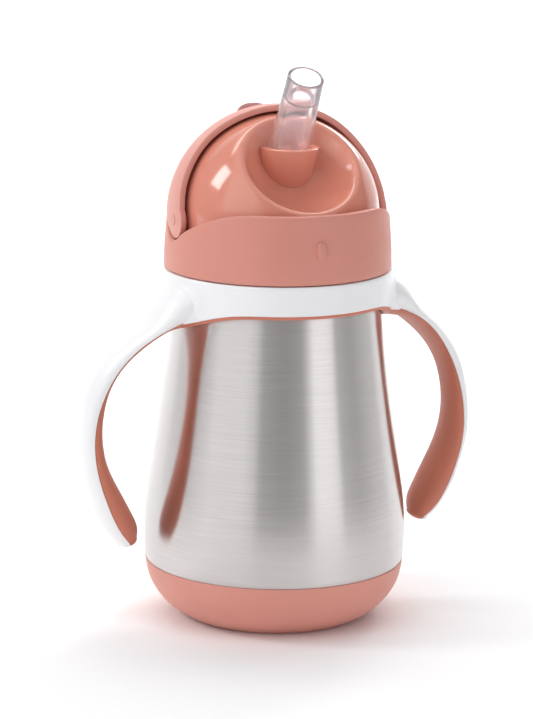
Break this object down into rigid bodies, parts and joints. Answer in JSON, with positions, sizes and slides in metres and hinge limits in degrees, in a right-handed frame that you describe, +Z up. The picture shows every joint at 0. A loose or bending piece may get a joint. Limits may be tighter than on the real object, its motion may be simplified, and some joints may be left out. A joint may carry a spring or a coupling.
{
  "type": "sippy cup",
  "caption": "Insulated steel straw cup with two curved handles, a screw lid and a cover that slides over the folding straw.",
  "frame": {"origin": "centre of the foot, on the surface the cup stands on", "axes": "+Z up along the body's axis, -Y the drinking side the straw leans to, +/-X the two handles"},
  "size_m": [0.1276, 0.08, 0.1705],
  "materials": {
    "steel": "fine lines brushed around the body",
    "liner_steel": "electropolished inside",
    "getter_metal": "dull sintered metal",
    "boot_plastic": "matte, silky",
    "frame_white": "smooth white, semi-gloss",
    "grip_soft": "soft-touch, matte",
    "gasket_silicone": "translucent white silicone",
    "collar_plastic": "fine matte, slight sheen",
    "dome_plastic": "polished",
    "plate_plastic": "clean white moulding",
    "cover_plastic": "fine matte, slight sheen",
    "knob_soft": "soft-touch, a shade pinker than the cover",
    "silicone_clear": "clear silicone with a lilac cast",
    "weight_plastic": "white food-safe plastic",
    "weight_steel": "turned stainless steel"
  },
  "bodies": {
    "cup": {"outer_shell": "steel", "inner_liner": "liner_steel", "bottom_plate": "steel", "vacuum_getter": "getter_metal", "sealing_bead": "getter_metal", "base_boot": "boot_plastic"},
    "handles": {"handle_frame": "frame_white", "handle_grip": "grip_soft"},
    "lid_seal": {"lid_gasket": "gasket_silicone"},
    "lid": {"screw_collar": "collar_plastic", "lid_dome": "dome_plastic", "inner_plate": "plate_plastic", "vent_valve": "gasket_silicone", "straw_connector": "plate_plastic", "mouthpiece_base": "silicone_clear", "straw_sleeve": "silicone_clear"},
    "cover": {"sliding_cover": "cover_plastic", "cover_knob": "knob_soft", "pivot_pin_left": "cover_plastic", "pivot_pin_right": "cover_plastic"},
    "straw_tip": {"mouthpiece_tip": "silicone_clear"},
    "weighted_straw": {"straw_tube": "silicone_clear", "weight_shell_upper": "weight_plastic", "weight_shell_lower": "weight_plastic", "weight_core": "weight_steel"}
  },
  "joints": [
    {"name": "handle_turn", "type": "hinge", "parent": "cup", "child": "handles", "pos_m": [0, 0, 0.103], "axis": [0, 0, 1], "continuous": true},
    {"name": "lid_lift", "type": "slide", "parent": "cup", "child": "lid_seal", "axis": [0, 0, 1], "range_m": [0, 0.125]},
    {"name": "lid_turn", "type": "hinge", "parent": "lid_seal", "child": "lid", "pos_m": [0, 0, 0.1185], "axis": [0, 0, 1], "range_deg": [0, 270]},
    {"name": "cover_swing", "type": "hinge", "parent": "lid", "child": "cover", "pos_m": [0, 0, 0.1237], "axis": [1, 0, 0], "range_deg": [0, 80]},
    {"name": "straw_fold", "type": "hinge", "parent": "lid", "child": "straw_tip", "pos_m": [0, -0.0083, 0.1457], "axis": [1, 0, 0], "range_deg": [0, 84.5], "deforming": ["mouthpiece_tip"]},
    {"name": "straw_swing", "type": "hinge", "parent": "lid", "child": "weighted_straw", "pos_m": [0, 0.00316, 0.1116], "axis": [1, 0, 0], "range_deg": [-10, 10]}
  ],
  "couplings": [
    {"joint": "straw_fold", "follows": "cover_swing", "ratio": 1.05}
  ]
}
